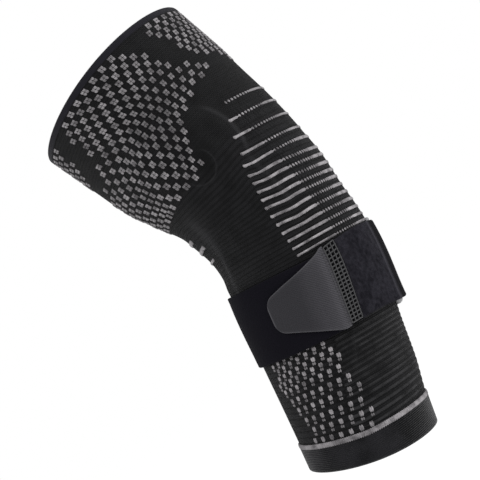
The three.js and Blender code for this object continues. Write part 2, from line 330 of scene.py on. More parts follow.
class Nodes:
    """Short hand for one material's node tree."""

    def __init__(self, name, roughness, specular, sheen=0.0, sheen_roughness=0.5):
        self.material = bpy.data.materials.new(name)
        self.material.use_nodes = True
        self.tree = self.material.node_tree
        self.shader = self.tree.nodes["Principled BSDF"].inputs
        self.put(self.shader["Roughness"], roughness)
        self.put(self.shader["Specular IOR Level"], specular)
        self.put(self.shader["Sheen Weight"], sheen)
        self.put(self.shader["Sheen Roughness"], sheen_roughness)

    def put(self, socket, value):
        if isinstance(value, bpy.types.NodeSocket):
            self.tree.links.new(value, socket)
        else:
            socket.default_value = value

    def node(self, kind, **settings):
        node = self.tree.nodes.new("ShaderNode" + kind)
        for name, value in settings.items():
            setattr(node, name, value)
        return node

    def math(self, operation, *values):
        node = self.node("Math", operation=operation)
        for socket, value in zip(node.inputs, values):
            self.put(socket, value)
        return node.outputs[0]

    def times(self, first, *others):
        for other in others:
            first = self.math("MULTIPLY", first, other)
        return first

    def plus(self, first, *others):
        for other in others:
            first = self.math("ADD", first, other)
        return first

    def less(self, value, taken):
        return self.math("SUBTRACT", value, taken)

    def power(self, value, exponent):
        return self.math("POWER", value, exponent)

    def sine(self, place, rate):
        return self.math("SINE", self.times(place, rate))

    def humps(self, place, rate):
        """A sine with its lower half folded up."""
        return self.math("ABSOLUTE", self.sine(place, rate))

    def uv(self):
        node = self.node("SeparateXYZ")
        self.put(node.inputs[0], self.node("UVMap").outputs[0])
        return node.outputs[0], node.outputs[1]

    def place(self):
        return self.node("TexCoord").outputs["Object"]

    def marked(self, name):
        return self.node("Attribute", attribute_name=name).outputs["Fac"]

    def noise(self, scale, detail=3.0, stretch=(1, 1, 1)):
        node, mapping = self.node("TexNoise"), self.node("Mapping")
        self.put(mapping.inputs["Scale"], stretch)
        self.put(mapping.inputs[0], self.place())
        self.put(node.inputs["Vector"], mapping.outputs[0])
        self.put(node.inputs["Scale"], scale)
        self.put(node.inputs["Detail"], detail)
        return node.outputs["Fac"]

    def distance(self, point):
        node = self.node("VectorMath", operation="DISTANCE")
        self.put(node.inputs[0], self.place())
        self.put(node.inputs[1], point)
        return node.outputs["Value"]

    def line(self, distance, place, width):
        """1 where a distance is at a place, falling to 0 a width away."""
        off = self.math("ABSOLUTE", self.less(distance, place))
        return self.ramp(self.less(1.0, self.math("DIVIDE", off, width)), 0.0, 1.0)

    def mix(self, share, low, high):
        node = self.node("Mix", data_type="RGBA")
        self.put(node.inputs["Factor"], share)
        for key, colour in (("A", low), ("B", high)):
            self.put(node.inputs[key], colour if isinstance(colour, bpy.types.NodeSocket) else (*colour, 1))
        return node.outputs["Result"]

    def ramp(self, value, low, high):
        node = self.node("MapRange", interpolation_type="SMOOTHSTEP")
        self.put(node.inputs["Value"], value)
        self.put(node.inputs["From Min"], low)
        self.put(node.inputs["From Max"], high)
        return node.outputs["Result"]

    def finish(self, colour, height=None, depth=0.3):
        """The material in a colour, with a height as bumps of a depth in millimetres."""
        self.put(self.shader["Base Color"], colour)
        if height is not None:
            bump = self.node("Bump")
            self.put(bump.inputs["Strength"], 1.0)
            self.put(bump.inputs["Distance"], depth * MM)
            self.put(bump.inputs["Height"], height)
            self.put(self.shader["Normal"], bump.outputs[0])
        return self.material


# Knit. Wales run up the arm, four to a check; courses run round it and change height up the arm.
WALES = 200
COURSE_AT, COURSE_HEIGHT = np.array([
    (-137, 1.05), (-121, 1.05), (-118, 1.8), (-105, 2), (-97, 1.75), (-88, 1.6), (-74, 1.42), (-66, 1.25),
    (-16, 1.22), (-8, 1.35), (3, 1.55), (45, 1.55), (60, 2.1), (95, 2.05), (138, 1.93),
]).T
RIDGE_AT = 0.7
# Degrees from bead to bead where the stripes over the elbow break up
BEAD_STEP = 2.6
# Over the outside of the elbow a course drops from its start turn to the silhouette: s, start turn, drop
DROP_AT, DROP_START, DROP_DEPTH = np.array([
    (-21, 268, 0), (-17.4, 268, -1.4), (-12.6, 267.5, 0), (-2.1, 267, 3), (9.2, 268, 6.6),
    (19.9, 271, 9.8), (33.7, 277, 12.4), (39.3, 279.5, 12.1), (44.6, 284, 11), (53.6, 288.5, 9.3),
    (61.9, 294.5, 7), (70.6, 303, 5.3), (92, 310, 0),
]).T
SILHOUETTE_TURN = 348.0
# A fold up the cloth, where the courses dip further
FOLD_TURN = 284.0
FOLD_WIDTH = 8.0
FOLD_DIP = 0.75
# Towards the inside of the bend the courses rise: s, rise a degree
LEAN_AT, LEAN_RISE = np.array([
    (-13.2, 0), (-8.1, 0.07), (-2.5, 0.14), (3.6, 0.177), (30, 0.17), (50, 0.1), (62, 0),
]).T
LEAN_TURN = 262.0
LEAN_REACH = 55.0
# Forearm ribs: s, ribs counted from the ring
RIB_AT, RIB_COUNT = np.array([(-139, -6), (-116.2, 0), (-101, 4), (-84.9, 9), (-67.3, 15), (-20, 31.6)]).T
RIB_DEPTH = 0.35
FOREARM_RISE = 4.6
RING_RISE = 0.6
# The creases over the pad's hole and round the pad, with painted highlights on them and painted shade in the
# hole
HOLE_S = 58.0
HOLE_TURN = 261.0
HOLE_CREASE_RADIUS = 10.2
EDGE_CREASE_RADIUS = 33.5
FOLD_CREASE_TURN = 286.5


def course_number(s):
    """Courses counted up the arm, so that the odd ones are ridges on the plain part."""
    steps = np.linspace(-140, 140, 2801)
    rate = (steps[1] - steps[0]) / np.interp(steps[1:], COURSE_AT, COURSE_HEIGHT)
    number = np.concatenate([[0], np.cumsum(rate)])
    return np.interp(s, steps, number) - np.interp(RIDGE_AT, steps, number) + 1


def course_drop(s, turn):
    """How far a course that starts at s has dropped by a turn, the same on both sides."""
    side = near_side(turn)
    start = np.interp(s, DROP_AT, DROP_START)
    share = np.clip((side - start) / (SILHOUETTE_TURN - start), 0, 1)
    power = 2.1 - 0.4 * ease(s, 34, 45)
    fold = FOLD_DIP * bell(side, FOLD_TURN, FOLD_WIDTH) * within(s, -8, 2, 36, 46)
    fold = fold * np.clip((side - start) / 6, 0, 1)
    return np.interp(s, DROP_AT, DROP_DEPTH) * (1 - (1 - share) ** power) + fold


def course_start(s, turn):
    """The s at which a place's course starts, undoing its drop step by step."""
    inward = np.clip(LEAN_TURN - near_side(turn), 0, LEAN_REACH)
    start = s
    for _ in range(12):
        start = s + course_drop(start, turn) - inward * np.interp(start, LEAN_AT, LEAN_RISE)
    return start


def forearm_rise(s, turn):
    """How far the forearm's courses rise towards the outside of the arm."""
    share = np.clip((near_side(turn) - 268) / 77, 0, 1)
    return FOREARM_RISE * (1 - (1 - share) ** 1.8) * (1 - ease(s, -58, -25))


def rib_wave(s, turn):
    """0 in a groove between two ribs, 1 on a rib."""
    return np.abs(np.sin(np.pi * np.interp(s - forearm_rise(s, turn), RIB_AT, RIB_COUNT)))


def rib_share(s, turn):
    """How strongly the cloth is ribbed, on the outer side of the forearm."""
    edge = 93 - 0.24 * (s + 66)
    return (1 - ease(degrees_from(turn, 0), edge - 5, edge)) * within(s, -118.8, -117, -22, -16)


def tuck_share(s, turn):
    """How far stitches are tucked in, on the outer side of the elbow, where the stripes bead."""
    return within(near_side(turn), 299, 304, 320, 329) * within(s, -22, -14, 62, 78)


def cuff_share(s, turn):
    """1 on the cuff, 0 above it; the cuff's upper edge rises with the courses."""
    cuff_top = CUFF_HEIGHT - LOWER_LENGTH + RING_RISE * forearm_rise(s, turn)
    return 1 - ease(s, cuff_top - 0.8, cuff_top + 0.8)


def wall_relief(s, turn):
    return relief(s, turn) + RIB_DEPTH * rib_share(s, turn) * (rib_wave(s, turn) ** 0.7 - 0.6)


def stitch_height(nodes, wale, course, lean):
    """Height of knit stitches: two leaning legs a wale, with a furrow between wales."""
    place = nodes.math("FRACT", wale)
    off_centre = nodes.math("ABSOLUTE", nodes.less(place, 0.5))
    wave = nodes.humps(nodes.plus(course, nodes.times(off_centre, lean)), np.pi)
    legs = nodes.humps(place, 2 * np.pi)
    return nodes.times(nodes.power(wave, 0.6), nodes.power(legs, 0.5))


def knit_cloth(nodes, wale, course):
    """Colour and height: stitches, lines and faint ridges on the plain part, ribs with painted highlights on
    their tops and painted shade on their flanks.
    """
    plain, rib = nodes.marked("plain"), nodes.marked("rib")
    stitch = nodes.times(stitch_height(nodes, wale, course, 1.2), nodes.less(1.0, nodes.times(plain, 0.55)))
    line = nodes.times(nodes.power(nodes.humps(course, np.pi), 0.6), plain, 0.9)
    ridge = nodes.times(nodes.sine(nodes.less(course, 0.5), np.pi), 0.5, plain, nodes.less(1.0, rib))
    height = nodes.plus(stitch, line, nodes.times(nodes.noise(900.0, 4.0), 0.5), nodes.times(ridge, 0.7))
    shade = nodes.times(nodes.ramp(height, 0.2, 1.3), nodes.ramp(nodes.noise(120.0, 2.0), 0.1, 0.8))
    shade = nodes.plus(shade, nodes.times(ridge, 0.55))
    tuck = nodes.ramp(nodes.sine(wale, 2 * np.pi * 360 / WALES / BEAD_STEP), -0.2, 0.9)
    tuck = nodes.times(tuck, nodes.ramp(nodes.noise(380.0, 2.0), 0.35, 0.6))
    shade = nodes.less(shade, nodes.times(nodes.less(tuck, 0.3), nodes.marked("tucks"), 1.3))
    # Painted highlight on the rib tops, painted shade on their flanks
    raised = nodes.mix(nodes.times(nodes.ramp(rib, 0.5, 0.95), shade), *RIB_SHADE_AND_HIGHLIGHT_COLOURS)
    return nodes.mix(nodes.ramp(rib, 0.02, 0.5), nodes.mix(shade, *KNIT_COLOURS), raised), height


def knit_material():
    """Black knit with painted highlights on the crests of its creases, and painted shade in the pad's hole.
    """
    nodes = Nodes("knit_black", 0.9, 0.07, 0.03, 0.6)
    wale, course = nodes.uv()
    colour, height = knit_cloth(nodes, wale, course)
    hole_at = Vector(wall_point(HOLE_S, HOLE_TURN, 0)) * MM
    pad_at = Vector(wall_point(PAD_HEIGHT, PAD_TURN, PAD_RISE)) * MM
    hole = nodes.line(nodes.distance(hole_at), HOLE_CREASE_RADIUS * MM, 0.9 * MM)
    edge = nodes.line(nodes.distance(pad_at), EDGE_CREASE_RADIUS * MM, 2.4 * MM)
    fold = nodes.line(wale, FOLD_CREASE_TURN * WALES / 360, 1.9)
    crest_highlight = nodes.marked("crook")
    for name, line in (("hole", hole), ("edge", edge), ("fold", fold)):
        crest_highlight = nodes.plus(crest_highlight, nodes.times(line, nodes.marked(name)))
    # Painted highlight on the crests of the creases
    colour = nodes.mix(nodes.times(crest_highlight, 0.6), colour, CREST_HIGHLIGHT_COLOUR)
    # Painted shade in the pad's hole
    hollow = nodes.times(nodes.marked("hollow"), nodes.ramp(nodes.distance(hole_at), 10.0 * MM, 7.0 * MM))
    colour = nodes.mix(nodes.less(1.0, hollow), HOLLOW_COLOUR, colour)
    return nodes.finish(colour, nodes.plus(height, nodes.times(crest_highlight, 1.1)), 0.6)


def band_material():
    nodes = Nodes("edge_band", 0.85, 0.1, 0.04)
    rib = nodes.power(nodes.humps(nodes.uv()[0], 2 * np.pi), 0.5)
    height = nodes.plus(rib, nodes.times(nodes.noise(700.0), 0.6))
    return nodes.finish(nodes.mix(nodes.noise(60.0), *BAND_COLOURS), height, 0.25)


def cuff_material():
    nodes = Nodes("cuff_knit", 0.9, 0.08, 0.16, 0.4)
    line = nodes.power(nodes.humps(nodes.uv()[1], np.pi), 0.6)
    height = nodes.plus(line, nodes.times(nodes.noise(900.0), 0.5))
    shade = nodes.times(nodes.ramp(height, 0.2, 1.2), nodes.ramp(nodes.noise(50.0), 0.3, 0.7))
    return nodes.finish(nodes.mix(shade, *CUFF_COLOURS), height, 0.4)


def lining_material():
    nodes = Nodes("knit_inside", 0.92, 0.12, 0.05)
    stitch = stitch_height(nodes, *nodes.uv(), -1.0)
    return nodes.finish(nodes.mix(nodes.noise(200.0), *LINING_COLOURS), stitch, 0.4)


def light_yarn_material():
    nodes = Nodes("yarn_light", 0.85, 0.2, 0.08)
    fibres = nodes.noise(1500.0, 4.0, (1, 1, 3))
    tone = nodes.plus(nodes.times(fibres, 0.45), nodes.times(nodes.noise(170.0, 2.0), 0.65))
    colour = nodes.mix(nodes.ramp(tone, 0.34, 0.78), *YARN_COLOURS)
    return nodes.finish(nodes.mix(nodes.marked("dim"), colour, DARKENED_YARN_COLOUR), fibres, 0.2)


def speckled_material(nodes, scale, detail, colours):
    """Plain cloth whose grain gives both its colour and its bumps."""
    grain = nodes.noise(scale, detail)
    return nodes.finish(nodes.mix(grain, *colours), grain)


# Sleeve. Parts of its section, in order, and its materials
OUTSIDE, UPPER_RIM, INSIDE, LOWER_RIM = range(4)
KNIT, BAND, CUFF, LINING = range(4)
MATERIAL_OF_PART = np.array([KNIT, BAND, LINING, CUFF])
# Heights of the mesh's rows: on the ribbed forearm, above it, by the edge band, inside
RIBBED_ROW = 0.47
PLAIN_ROW = 0.85
BAND_ROW = 0.45
INSIDE_ROW = 11.0
RIBS_END = -60.0
BAND_FOOT = UPPER_LENGTH - EDGE_BAND_HEIGHT
HOLE_MARK_REACH = 40.0


def rim_stations(end, side, swell, count=8):
    """Half round of a rim: s and lift."""
    radius = (KNIT_WALL + swell) / 2
    angle = np.pi * np.arange(count + 1) / count
    return end - side * radius * (1 - np.sin(angle)), side * radius * np.cos(angle) + (swell - KNIT_WALL) / 2


def sleeve_rows():
    """Section of the sleeve's wall: s, lift and part of each row, up the outside and down the inside."""
    top_s, top_lift = rim_stations(UPPER_LENGTH, 1, EDGE_BAND_SWELL)
    low_s, low_lift = rim_stations(-LOWER_LENGTH, -1, CUFF_SWELL)
    outer = np.concatenate([
        np.arange(low_s[-1] + 0.5, RIBS_END, RIBBED_ROW),
        np.arange(RIBS_END, BAND_FOOT - 3, PLAIN_ROW),
        np.arange(BAND_FOOT - 3, top_s[0] - 0.3, BAND_ROW),
    ])
    inner = np.arange(top_s[-1] - 4, low_s[0] + 4, -INSIDE_ROW)
    outer_lift = EDGE_BAND_SWELL * ease(outer, BAND_FOOT - 0.6, BAND_FOOT + 0.6)
    s = np.concatenate([outer, top_s, inner, low_s])
    lift = np.concatenate([outer_lift, top_lift, np.full(len(inner), -KNIT_WALL), low_lift])
    counts = [len(rows) for rows in (outer, top_s, inner, low_s)]
    part = np.repeat([OUTSIDE, UPPER_RIM, INSIDE, LOWER_RIM], counts)
    return s, lift, part


def mark_creases(sleeve, s, turn):
    """Where painted highlights show on the creases: by the pad's hole and edge, the folds, and the inside of
    the bend; and where painted shade fills the pad's hole.
    """
    around_hole = np.degrees(np.arctan2(s - HOLE_S, np.radians(turn - HOLE_TURN) * mean_radius(s)))
    by_hole = np.abs(turn - HOLE_TURN) < HOLE_MARK_REACH
    mark(sleeve, "hole", 0.6 * ease(degrees_from(around_hole, -65), 115, 75) * by_hole)
    mark(sleeve, "hollow", 0.7 * ease(degrees_from(around_hole, -25), 110, 40) * by_hole)
    mark(sleeve, "edge", ease(turn, 276, 284) * within(s, 40, 50, 74, 82))
    mark(sleeve, "fold", 0.55 * within(s, 2, 14, 38, 46))
    ridge_turn = 30 + 7 * ease(s, -8, 22) + 3 * ease(s, 22, 36)
    ridge = bell(np.abs(turn - 180), ridge_turn, 3.2 + 2.2 * ease(s, 8, 32)) * within(s, -48, -14, 40, 52)
    below_tab = bell(turn, 285.4 + 0.4 * (s + 67.4), 1.7) * within(s, -88, -77, -64, -60)
    mark(sleeve, "crook", (0.95 + 0.3 * ease(s, 8, 24)) * ridge + 0.4 * below_tab)


def sleeve_object():
    """The whole knitted tube, with a point at each wale, and wales and courses as its UV map."""
    row_s, row_lift, part = sleeve_rows()
    s, turn = np.meshgrid(row_s, np.arange(WALES) * 360 / WALES, indexing="ij")
    outside = (part == OUTSIDE)[:, None]
    lift = row_lift[:, None] + outside * (wall_relief(s, turn) + CUFF_SWELL * cuff_share(s, turn))
    uv_s, uv_wale = np.meshgrid(row_s, np.arange(WALES + 1.0), indexing="ij")
    uv_turn = uv_wale * 360 / WALES
    uv_course = course_number(course_start(uv_s, uv_turn) - forearm_rise(uv_s, uv_turn))
    slots = np.repeat(MATERIAL_OF_PART[part][:, None], WALES, axis=1)
    slots[outside & (s > BAND_FOOT)] = BAND
    slots[(slots == KNIT) & (cuff_share(s, turn) > 0.5)] = CUFF
    sleeve = grid_mesh("sleeve_knit", wall_point(s, turn, lift), True, True, (uv_wale, uv_course), slots)
    mark(sleeve, "plain", 1 - ease(s, 48, 62))
    mark(sleeve, "rib", outside * rib_share(s, turn) * rib_wave(s, turn))
    mark(sleeve, "tucks", tuck_share(s, turn))
    mark_creases(sleeve, s, turn)
    for material in (knit_material(), band_material(), cuff_material(), lining_material()):
        sleeve.data.materials.append(material)
    return sleeve


sleeve = sleeve_object()
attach(sleeve, "root")
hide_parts("knit_sleeve")

# Light yarn: lenses for the stitches of the checks, strips for the stripes
light_yarn = light_yarn_material()
YARN_LIFT = 0.12
LENS_SIDES = 6
LENS_RINGS = (-0.64, 0.0, 0.64)
STRIP_SIDES = 8


def dimming(s, turn):
    """How far the light yarn is darkened: over the pad's ring, and a little at the cuff."""
    return 0.55 * bell(near_side(turn), 268, 17) * bell(s, 90, 17) + 0.25 * bell(s, -120, 5)


def yarn_legs(name, legs):
    """One closed lens of yarn per row of legs: s, turn, length, width, lean in degrees, rise, faintness."""
    s0, turn0, length, width, lean, rise, faintness = (column[:, None] for column in np.transpose(legs))
    along = np.repeat(LENS_RINGS, LENS_SIDES)
    angle = np.tile(ring_angles(LENS_SIDES), len(LENS_RINGS))
    swell = np.sqrt(1 - along ** 2)
    a = np.append(along, (-1, 1)) * length / 2
    b = np.append(np.cos(angle) * swell, (0, 0)) * width / 2
    up = np.append(np.sin(angle) * swell, (0, 0)) * rise
    tilt = np.radians(lean)
    s = s0 + a * np.cos(tilt) - b * np.sin(tilt)
    turn = turn0 + np.degrees((a * np.sin(tilt) + b * np.cos(tilt)) / mean_radius(s0))
    first, last = end_rings(len(LENS_RINGS), LENS_SIDES)
    tip, other_tip = last[-1] + 1, last[-1] + 2
    caps = [(n, k, tip) for k, n in zip(first, np.roll(first, -1))]
    caps += [(k, n, other_tip) for k, n in zip(last, np.roll(last, -1))]
    base = a.shape[1] * np.arange(len(legs))[:, None, None]
    faces = (grid_faces(len(LENS_RINGS), LENS_SIDES, ring_columns=True) + base).reshape(-1, 4).tolist()
    faces += (np.array(caps) + base).reshape(-1, 3).tolist()
    obj = add_mesh(name, wall_point(s, turn, up + wall_relief(s, turn % 360) + YARN_LIFT), faces)
    obj.data.materials.append(light_yarn)
    mark(obj, "dim", np.repeat(np.clip(dimming(s0, turn0) + faintness, 0, 1), a.shape[1]))
    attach(obj, "root")


def mirrored(legs):
    """The same legs on the other side of the arm."""
    return [(s, 360 - turn, length, width, -lean, *rest) for s, turn, length, width, lean, *rest in legs]


def inside(outline, turn, s):
    """Whether a place lies inside an outline of (turn, s) corners."""
    result = False
    for (t1, s1), (t2, s2) in zip(outline, outline[1:] + outline[:1]):
        if (s1 > s) != (s2 > s):
            result ^= bool(turn < t1 + (s - s1) / (s2 - s1) * (t2 - t1))
    return result


# Zones of the upper arm's checks on the near side, as corners of turn and s; the far side mirrors them
MAIN_ZONE = [
    (224, 134), (280, 134), (284, 127.5), (289, 123), (293, 118), (297, 113.7), (301.3, 108.7), (305, 103.7),
    (308.4, 99.7), (319, 97), (319, 90), (306, 88), (291, 87), (284.7, 84.5), (280, 81), (275.5, 76),
    (272, 69), (268, 63), (264, 57.5), (259, 54.5), (246, 54.7), (236, 54.2), (226, 53.5), (213, 52.5),
    (179, 52), (179, 90), (189, 91), (203, 95.2), (212, 98.5), (219, 104), (224, 107), (225, 122),
]
OUTER_ZONE = [
    (300.5, 134.5), (361, 134.5), (361, 88), (348, 91.5), (334, 94.5), (325.4, 98.3), (319.6, 101.4),
    (315, 106.5), (310.7, 111.7), (308.2, 117.4), (304.5, 123.6), (300.5, 130),
]
INNER_ZONE = [(179, 135), (213, 134), (210, 126), (208.5, 117), (200, 108), (190, 105), (179, 103)]

# Their rows: s, turn of one check in the row
CHECK_ROWS = [
    (131.5, 247), (127.6, 244.1), (123.7, 249), (119.7, 246.8), (115.7, 245), (111.7, 243.3),
    (107.9, 242.3), (104.1, 241), (100.2, 238.3), (96.1, 243), (91.8, 244), (88, 246), (83.8, 242),
    (79, 246), (74.7, 241), (70, 244.5), (65.6, 239), (61.1, 242.5), (57.2, 236.2),
]
# Degrees from check to check, by turn across and by s down: the lattice is squeezed where the knit narrows
STEP_TURNS = [205, 216, 225, 234, 245, 258, 272, 287, 303]
STEPS = np.array([
    (58, 9, 4.5, 7, 10, 9.8, 6, 5.5, 5.5, 6),
    (68, 9.5, 6, 6, 9.5, 9.3, 6.5, 5.5, 5.5, 6),
    (76, 9.5, 8, 4.7, 8, 8, 6.8, 5.8, 5.5, 6),
    (84, 9, 10, 7.5, 6, 7.2, 6.8, 6, 5.5, 6),
    (91, 9, 10.5, 10, 6.8, 6.6, 6, 6, 5.5, 8),
    (97, 10, 11, 10.5, 9.8, 6.8, 5.9, 5.8, 6, 8),
    (104, 11, 11, 11, 10, 8, 6.3, 5.8, 6, 6.6),
    (112, 9, 9, 9, 8.6, 8.1, 7.6, 6.9, 6.4, 6.6),
    (120, 8, 8, 8, 7.9, 7.9, 7.9, 7.2, 6.9, 7),
    (131, 7.7, 7.7, 7.7, 7.7, 7.7, 7.7, 7.6, 7.6, 7.6),
])
WIDEST_STEP = 8.6
CHECK_WIDTH_SHARE = 0.48
CHECK_HEIGHT_SHARE = 0.84
LEG_LENGTH_SHARE = 0.57
LEG_WIDTH_SHARE = 0.25
LEG_SPLAY = 9.0
LEG_RISE = 0.45


def check_step(s, turn):
    row = [np.interp(s, STEPS[:, 0], column) for column in STEPS[:, 1:].T]
    return np.interp(turn, STEP_TURNS, row)


def row_sag(s, turn):
    """How far a row of checks drops away from its highest place."""
    right = (1.7 + 0.05 * max(98 - s, 0)) * (max(turn - 240, 0) / 32) ** 1.5 * (1 - ease(s, 100, 110))
    left = 0.06 * max(235 - turn, 0) * (1 - ease(s, 90, 100))
    return right * (1 - ease(turn, 304, 322)) + left


def row_turns(s, guide):
    """Turns of a row's checks, stepped to both sides of the given one."""
    turns = [guide]
    while turns[-1] < 360:
        turns.append(turns[-1] + check_step(s, turns[-1] + 3.5))
    turns = turns[::-1]
    while turns[-1] > 180:
        turns.append(turns[-1] - check_step(s, turns[-1] - 4.0))
    return turns


def check_legs(s, turn, step, height):
    """Two courses of two stitches, each a pair of legs; the whole check leans with the wales."""
    width = np.radians(min(step, WIDEST_STEP)) * mean_radius(s) * CHECK_WIDTH_SHARE
    height = height * CHECK_HEIGHT_SHARE
    lean = -20 * (1 - ease(turn, 255, 285)) * ease(s, 90, 105) + 8 * ease(turn, 285, 300)
    legs = []
    for course, side, leg in product((0.25, -0.25), (-0.5, 0.5), (-1, 1)):
        across = (side + 0.2 * leg) * width / 2 + np.tan(np.radians(lean)) * course * height
        at = turn + np.degrees(across / mean_radius(s))
        legs.append((s + course * height, at, height * LEG_LENGTH_SHARE, width * LEG_WIDTH_SHARE,
                     lean + LEG_SPLAY * leg, LEG_RISE, 0))
    return legs


def upper_checks():
    legs = []
    for row_s, guide in CHECK_ROWS:
        height = 4.0 + 0.35 * ease(-row_s, -100, -85)
        for turn in row_turns(row_s, guide):
            s = row_s - row_sag(row_s, turn)
            if turn < 360 and any(inside(zone, turn, s) for zone in (MAIN_ZONE, OUTER_ZONE, INNER_ZONE)):
                legs += check_legs(s, turn, check_step(row_s, turn), height)
    return legs


# Forearm checks: s and step of each row, which is shifted half a step from the last
FOREARM_ROWS = [
    (-117.4, 8.5), (-110.6, 8.45), (-104.1, 8.2), (-97.0, 8.0), (-90.6, 7.7), (-84.1, 7.6), (-79.0, 7.5),
    (-74.5, 7.5), (-69.8, 7.6), (-65.6, 7.7),
]
FOREARM_ZONE = [
    (219, -120), (279, -120), (278, -108), (274.5, -95), (271, -87.5), (269, -77), (265, -66), (263, -60),
    (208, -60), (208, -86), (213, -95), (217, -108),
]
FOREARM_GUIDE_TURN = 247.0
LOWEST_CHECK = -118.6


def stitch_pair(s, turn, aside, length, width, splay, rise, faintness):
    """Two legs side by side, leaning apart."""
    return [(s, turn + leg * aside, length, width, splay * leg, rise, faintness) for leg in (-1, 1)]


def forearm_checks():
    """Legs of the forearm's checks: a long pair, and a short faint pair below it."""
    legs = []
    for k, (row_s, step) in enumerate(FOREARM_ROWS):
        degrees_a_mm = np.degrees(1 / mean_radius(row_s))
        length = 3.45 - 0.09 * k
        for m in range(-8, 9):
            turn = FOREARM_GUIDE_TURN - 0.15 * k + (m + 0.5 * (k % 2)) * step
            s = row_s + 0.0175 * k * (turn - 245)
            low = s - length / 2 - 1.3 + 0.05 * k
            if inside(FOREARM_ZONE, turn, s):
                legs += stitch_pair(s, turn, 0.5 * degrees_a_mm, length, 1.6, 3, LEG_RISE, 0)
                if low > LOWEST_CHECK:
                    legs += stitch_pair(low, turn - 0.4, 0.52 * degrees_a_mm, 1.7, 1.15, 5, 0.3, 0.4)
    return legs


upper_legs = upper_checks()
yarn_legs("checks_upper_near", upper_legs)
yarn_legs("checks_upper_far", mirrored(upper_legs))
forearm_legs = forearm_checks()
yarn_legs("checks_forearm_near", forearm_legs)
yarn_legs("checks_forearm_far", mirrored(forearm_legs))

# Light stripes over the outside of the elbow: s, turn where each starts; each ends as far round the back
STRIPES = [
    (70.6, 302.5), (61.9, 294.5), (53.6, 288.3), (44.6, 283.7), (39.3, 279.2), (33.7, 276.7), (29.1, 275.1),
    (24.2, 273), (19.5, 271), (14.7, 269), (9.2, 268), (3.5, 267.5), (-2.2, 267), (-7.7, 267.5),
    (-12.8, 267.5), (-17.4, 268), (-22.6, 275),
]
# Broad light stripes over the inside of the bend
CROOK_STRIPES = [(38.2, 160.5), (30.1, 153), (16.9, 157.5)]


def yarn_strips(name, rows, half_width, rise, steps, beads=0.0, head=0.0):
    """Rounded strips of yarn along the wall, from each start turn to as far on the other side."""
    tubes = []
    ring = ring_angles(STRIP_SIDES)
    for s0, start in rows:
        turn = np.linspace(start, (720 if start > 180 else 360) - start, steps)[:, None]
        from_end = np.minimum(turn - turn[0], turn[-1] - turn)
        beaded = beads * tuck_share(0, turn)
        size = 1 - beaded * ease(np.cos(2 * np.pi * near_side(turn) / BEAD_STEP), -0.6, 0.15)
        size = size * (1 + head * bell(from_end, 0, 1.7)) * np.sqrt(np.clip(from_end / 0.7, 0.02, 1))
        size = size * (1 - 0.22 * ease(-s0, 4, 16))
        s = s0 - course_drop(s0, turn) + np.cos(ring) * half_width * size
        lift = np.sin(ring) * rise * size + YARN_LIFT
        tubes.append(wall_point(s, turn, lift + wall_relief(s, turn % 360)))
    obj = closed_tubes(name, tubes, light_yarn)
    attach(obj, "root")


yarn_strips("stripes_elbow", STRIPES, 0.78, 0.5, 620, beads=0.98, head=0.45)
yarn_strips("stripes_crook", CROOK_STRIPES, 1.45, 0.55, 120, head=0.1)

# Grey ring above the cuff, with the stitches of its upper edge as a wave
RING_TOP = -119.4
RING_FOOT = -122.7
RING_STEPS = 800
RING_SIDES = 10
RING_WAVE = 0.16
RING_LIFT = 0.32
RING_HALF_RISE = 0.66


def ring_object():
    turn = np.arange(RING_STEPS) * 360 / RING_STEPS
    angle = ring_angles(RING_SIDES)[:, None]
    middle, half = (RING_TOP + RING_FOOT) / 2, (RING_TOP - RING_FOOT) / 2
    stitches = np.cos(np.radians(turn * WALES))
    half_here = half + RING_WAVE * stitches * (np.cos(angle) > 0)
    s = middle + RING_RISE * forearm_rise(middle, turn) + np.cos(angle) * half_here
    lift = RING_LIFT + np.sin(angle) * (RING_HALF_RISE + 0.1 * stitches)
    ring = grid_mesh("ring_light", wall_point(s, turn, lift), True, True)
    ring.data.materials.append(light_yarn)
    mark(ring, "dim", np.full(s.size, 0.15))
    return ring


ring = ring_object()
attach(ring, "root")

# Pad, inside the sleeve. Its section from the hole outwards: share of its width, share of its thickness
PAD_SECTION_AT, PAD_SECTION_DEPTH = np.array([(0, 0.75), (0.3, 1), (0.7, 0.85), (1, 0.4)]).T


def pad_object():
    """A crowned ring, bent to the inside of the wall."""
    profile = ring_angles(20)[:, None]
    around = ring_angles(72)
    share = 0.5 - 0.5 * np.cos(profile)
    taper = np.interp(share, PAD_SECTION_AT, PAD_SECTION_DEPTH)
    deep = 0.5 - 0.5 * np.sign(np.sin(profile)) * np.abs(np.sin(profile)) ** 0.5
    radius = PAD_HOLE_RADIUS + share * (PAD_RADIUS - PAD_HOLE_RADIUS)
    s = PAD_HEIGHT + radius * np.sin(around)
    turn = PAD_TURN + np.degrees(radius * np.cos(around) / mean_radius(s))
    lift = -KNIT_WALL - CLEARANCE - deep * taper * PAD_THICKNESS
    pad = grid_mesh("pad_ring", wall_point(s, turn, lift), True, True)
    nodes = Nodes("pad_gel", 0.5, 0.4)
    colour = nodes.mix(nodes.noise(60.0), *PAD_COLOURS)
    pad.data.materials.append(nodes.finish(colour, nodes.noise(420.0, 2.0)))
    return pad


pad = pad_object()
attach(pad, "root")
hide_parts("pressure_pad")

# Bands: the strap and the tab. Steps across a face and round an edge
FACE_STEPS = 18
EDGE_STEPS = 6
TRAVEL = ROUTE_TURN[0] - ROUTE_TURN
CREASE_TURN = -27.0


def layer_lift(layer):
    return CLEARANCE + layer * (STRAP_THICKNESS + CLEARANCE)


def strap_top(travel):
    return -STRAP_DROP + STRAP_TILT * between(TRAVEL, ROUTE_RISE, travel)


def strap_foot(travel):
    return -STRAP_DROP - STRAP_WIDTH + STRAP_TILT * between(TRAVEL, ROUTE_FOOT, travel)


def strap_off(travel):
    return between(TRAVEL, ROUTE_OFF, travel)


